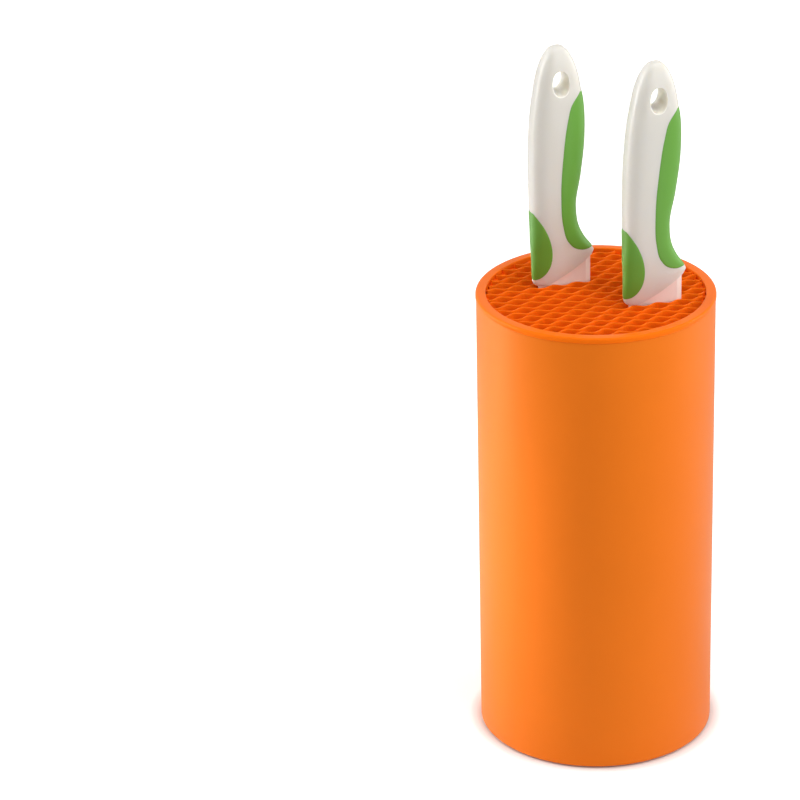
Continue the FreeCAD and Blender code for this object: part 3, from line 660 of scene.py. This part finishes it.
def hole_cutter(around=72):
    """Rings of a superellipse, wider by LIP - sqrt(LIP^2 - (LIP - d)^2) at the depth d below the skin."""
    angle = np.linspace(0, 2 * np.pi, around, endpoint=False)
    out = np.stack([np.cos(angle), np.sin(angle)], -1)
    unit = out / (np.abs(out) ** HOLE_POWER).sum(-1, keepdims=True) ** (1 / HOLE_POWER)
    depth = LIP * (1 - np.cos(np.linspace(0, np.pi / 2, 7)))
    flare = LIP - np.sqrt(LIP**2 - (LIP - depth) ** 2)
    rings = []
    for sign in (-1, 1):
        side = []
        for d, wider in zip(depth, flare):
            ring = unit * (HOLE_HALF_WIDTH + wider, HOLE_HALF_LENGTH + wider) + (HOLE_X, HOLE_Z)
            side.append(np.column_stack([ring[:, 0], sign * (skin(*ring.T) - d), ring[:, 1]]))
        clear = side[0].copy()  # one more ring, wider and well outside the skin
        clear[:, [0, 2]] += out * LIP
        clear[:, 1] += sign * 2 * LIP
        side = [clear, *side]
        rings.append(side if sign < 0 else side[::-1])
    rings = np.array(rings[0] + rings[1])
    cap = rings[[0, -1]].mean(1, keepdims=True) + 0 * rings[[0, -1]]
    return np.concatenate([cap[:1], rings, cap[1:]])


def cut(piece, cutter):
    """Cut one object out of another for good, and remove the cutter, whose painted-light white stays on the
    wall.
    """
    modifier = piece.modifiers.new("hole", "BOOLEAN")
    modifier.operation, modifier.solver, modifier.object = "DIFFERENCE", "EXACT", cutter
    modifier.material_mode = "TRANSFER"
    evaluated = piece.evaluated_get(bpy.context.evaluated_depsgraph_get())
    mesh = bpy.data.meshes.new_from_object(evaluated)
    piece.modifiers.clear()
    mesh.shade_smooth()
    mesh.set_sharp_from_angle(angle=math.radians(WALL_CREASE))
    piece.data = mesh
    bpy.data.objects.remove(cutter)


cutter_grid = hole_cutter()
print("cutter rings:", len(cutter_grid))

# %% [markdown]
# ## The two knives
# Both knives have the same handle, set at the place of its own solid in the frame and leaned by a hair
# along its slot, because the soft leaves never hold two knives quite parallel. The ceramic blades are flat
# plates with a ground edge, which the solids already have, so they stay and only get their glossy finish.

# %% Knives
LEAN = {"knife_1": -0.6, "knife_2": 0.6}  # degrees along the slot, as the leaves give way under a handle


def leaned(grid, degrees):
    """Each point moved along the slot by its height above the nose times the tangent of the lean."""
    return grid + grid[..., 2:] * (math.tan(math.radians(degrees)), 0, 0)


for knife, lean in LEAN.items():
    low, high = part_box(f"{knife}_blade")
    edge_x, slot_y = high.x / MM, (low.y + high.y) / 2 / MM
    nose_z = heights_of(f"{knife}_handle_core")[0]
    place = np.array([edge_x, slot_y, nose_z])
    handle = piece_from(f"{knife}_core", [(leaned(core_grid, lean) + place, True)], knife, "handle_white",
                        [f"{knife}_handle_core"], crease=40)
    # the cutter carries the hole's painted-light white, a brighter white that stands in for light in the hole
    cutter = piece_from(f"{knife}_cutter", [(leaned(cutter_grid, lean) + place, True)], knife, "hole_painted_light_white")
    cut(handle, cutter)
    piece_from(f"{knife}_belly_skin", [(leaned(belly_grip, lean) + place, True)], knife, "grip_green",
               [f"{knife}_belly_grip"], crease=50)
    piece_from(f"{knife}_spine_skin", [(leaned(spine_grip, lean) + place, True)], knife, "grip_green",
               [f"{knife}_spine_grip"], crease=50)
    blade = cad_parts[f"{knife}_blade"]
    blade.data.materials.clear()
    blade.data.materials.append(bpy.data.materials["blade_ceramic"])

# %% [markdown]
# ## Camera
# A long lens from well above the rim looks down onto the insert. The camera's axes are worked out from its
# pan, pitch and roll and set as a matrix, since three angles with a roll are easy to get in the wrong
# order.

# %% Camera
CAMERA_PLACE = Vector((-0.5374, -1.5168, 0.9060))
PAN, PITCH, ROLL = (math.radians(a) for a in (16.28, 24.70, -1.31))
forward = Vector((math.sin(PAN) * math.cos(PITCH), math.cos(PAN) * math.cos(PITCH), -math.sin(PITCH)))
level_right = Vector((math.cos(PAN), -math.sin(PAN), 0))
level_up = level_right.cross(forward)
right = math.cos(ROLL) * level_right + math.sin(ROLL) * level_up
up = -math.sin(ROLL) * level_right + math.cos(ROLL) * level_up
FOCAL_LENGTH, NEAREST = 171.8, 0.05  # millimetres, metres
lens = bpy.data.cameras.new("camera")
lens.lens = FOCAL_LENGTH
lens.clip_start = NEAREST
camera = bpy.data.objects.new("camera", lens)
camera.matrix_world = Matrix.Translation(CAMERA_PLACE) @ Matrix((right, up, -forward)).transposed().to_4x4()
bpy.context.scene.collection.objects.link(camera)
bpy.context.scene.camera = camera
print("camera looks along", [round(v, 3) for v in forward])

# %% [markdown]
# ## Light and floor
# Tall soft boxes at the sides leave the middle of the tub a little darker, which shows that it is round.
# One sun lamp would give a hard edge instead. Two boxes share the right side, so that neither knife stands
# wholly in the other's shadow. A low box with a narrow spread, as from a honeycomb grid, lifts only the
# foot on the left, a broad top box opens up the insert, and a weak one near the camera reaches into the
# handles' holes.


# %% Soft boxes
def soft_box(name, turn, distance, height, size, watts, spread=180, aim=0.14):
    """An area light facing the block's axis at the height aim, in metres.

    turn is its direction seen from above, in degrees from the camera's side, positive to the camera's right.
    """
    light = bpy.data.lights.new(name, "AREA")
    light.shape = "RECTANGLE"
    light.size, light.size_y = size
    light.energy = watts
    light.spread = math.radians(spread)
    towards = -Vector((forward.x, forward.y, 0)).normalized()
    angle = math.radians(turn)
    spot = distance * (level_right * math.sin(angle) + towards * math.cos(angle)) + Vector((0, 0, height))
    lamp = bpy.data.objects.new(name, light)
    facing = spot - Vector((0, 0, aim))
    lamp.matrix_world = Matrix.Translation(spot) @ facing.to_track_quat("Z", "Y").to_matrix().to_4x4()
    bpy.context.scene.collection.objects.link(lamp)


SIDE_HEIGHT, TALL = 0.45, (0.6, 0.8)
soft_box("left_box", turn=-104, distance=1.0, height=SIDE_HEIGHT, size=TALL, watts=8.0)
soft_box("left_low_box", turn=-100, distance=0.9, height=0.1, size=(0.6, 0.16), watts=0.35, spread=25,
         aim=0.1)
soft_box("right_front_box", turn=32, distance=1.0, height=SIDE_HEIGHT, size=(0.5, 0.8), watts=3.5)
soft_box("right_box", turn=95, distance=1.0, height=SIDE_HEIGHT, size=TALL, watts=5.4)
soft_box("top_box", turn=20, distance=0.25, height=1.2, size=(1.0, 0.8), watts=7.4)
soft_box("front_box", turn=-18, distance=1.1, height=SIDE_HEIGHT, size=(0.4, 0.5), watts=0.55)
print("lamps:", len(bpy.data.lights))


# %% [markdown]
# The floor is matt paper that takes the block's shadow. To the camera alone it also glows a little, more so
# further out, so that it joins the white background with no more light on the block. Close round the foot
# the glow fades out, which keeps the thin dark line and the soft shadow where the block stands. The world
# is white to the camera and in reflections, and only a faint fill to the surfaces themselves.


# %% Floor
def distance_mask(nodes, links, near, far, inside, outside):
    """A value from inside to outside, as the distance from the middle of the floor goes from near to far."""
    where, length, band = (nodes.new(f"ShaderNode{kind}") for kind in ("TexCoord", "VectorMath", "MapRange"))
    length.operation = "LENGTH"
    links.new(where.outputs["Object"], length.inputs[0])
    links.new(length.outputs["Value"], band.inputs["Value"])
    for socket, number in zip(("From Min", "From Max", "To Min", "To Max"), (near, far, inside, outside)):
        band.inputs[socket].default_value = number
    return band.outputs["Result"]


FLOOR_REACH, RIM_WIDTH = 6, 0.006  # metres
GLOW_FROM, GLOW_TO, GLOW_NEAR = 0.15, 0.9, 0.5  # metres, metres, and the share of the glow up to the first
floor_mesh = bpy.data.meshes.new("floor")
corners = [(x * FLOOR_REACH, y * FLOOR_REACH, 0) for x, y in ((-1, -1), (1, -1), (1, 1), (-1, 1))]
floor_mesh.from_pydata(corners, [], [(0, 1, 2, 3)])
floor = bpy.data.objects.new("floor", floor_mesh)
bpy.context.scene.collection.objects.link(floor)
foot_edge = casing_radius * MM
PAPER_COLOUR, PAPER_ROUGHNESS, PAPER_SHINE = (0.82, 0.81, 0.8, 1), 0.9, 0.1
paper = bpy.data.materials.new("white_paper")
paper.use_nodes = True
nodes, links = paper.node_tree.nodes, paper.node_tree.links
matt = nodes["Principled BSDF"]
matt.inputs["Base Color"].default_value = PAPER_COLOUR
matt.inputs["Roughness"].default_value = PAPER_ROUGHNESS
matt.inputs["Specular IOR Level"].default_value = PAPER_SHINE
glow, both, path = (nodes.new(f"ShaderNode{kind}") for kind in ("Emission", "AddShader", "LightPath"))
past_rim, far_out = nodes.new("ShaderNodeMath"), nodes.new("ShaderNodeMath")
past_rim.operation = far_out.operation = "MULTIPLY"
links.new(path.outputs["Is Camera Ray"], past_rim.inputs[0])
links.new(distance_mask(nodes, links, foot_edge, foot_edge + RIM_WIDTH, 0.0, 1.0), past_rim.inputs[1])
links.new(past_rim.outputs["Value"], far_out.inputs[0])
links.new(distance_mask(nodes, links, GLOW_FROM, GLOW_TO, GLOW_NEAR, 1.0), far_out.inputs[1])
links.new(far_out.outputs["Value"], glow.inputs["Strength"])
links.new(matt.outputs["BSDF"], both.inputs[0])
links.new(glow.outputs["Emission"], both.inputs[1])
links.new(both.outputs["Shader"], nodes["Material Output"].inputs["Surface"])
floor_mesh.materials.append(paper)
print("floor reaches", FLOOR_REACH, "m")

# %% World
WORLD_FILL = 0.1
world = bpy.data.worlds.new("studio")
bpy.context.scene.world = world
world.use_nodes = True
nodes, links = world.node_tree.nodes, world.node_tree.links
sky, white, mix, path, seen = (
    nodes.new(f"ShaderNode{kind}") for kind in ("Background", "Background", "MixShader", "LightPath", "Math")
)
sky.inputs["Color"].default_value = (1, 1, 1, 1)
sky.inputs["Strength"].default_value = WORLD_FILL
white.inputs["Color"].default_value = (1, 1, 1, 1)
seen.operation = "MAXIMUM"
links.new(path.outputs["Is Camera Ray"], seen.inputs[0])
links.new(path.outputs["Is Glossy Ray"], seen.inputs[1])
links.new(seen.outputs["Value"], mix.inputs["Fac"])
links.new(sky.outputs["Background"], mix.inputs[1])
links.new(white.outputs["Background"], mix.inputs[2])
links.new(mix.outputs["Shader"], nodes["World Output"].inputs["Surface"])
bpy.context.scene.view_settings.view_transform = "Standard"
print("world fill:", WORLD_FILL)
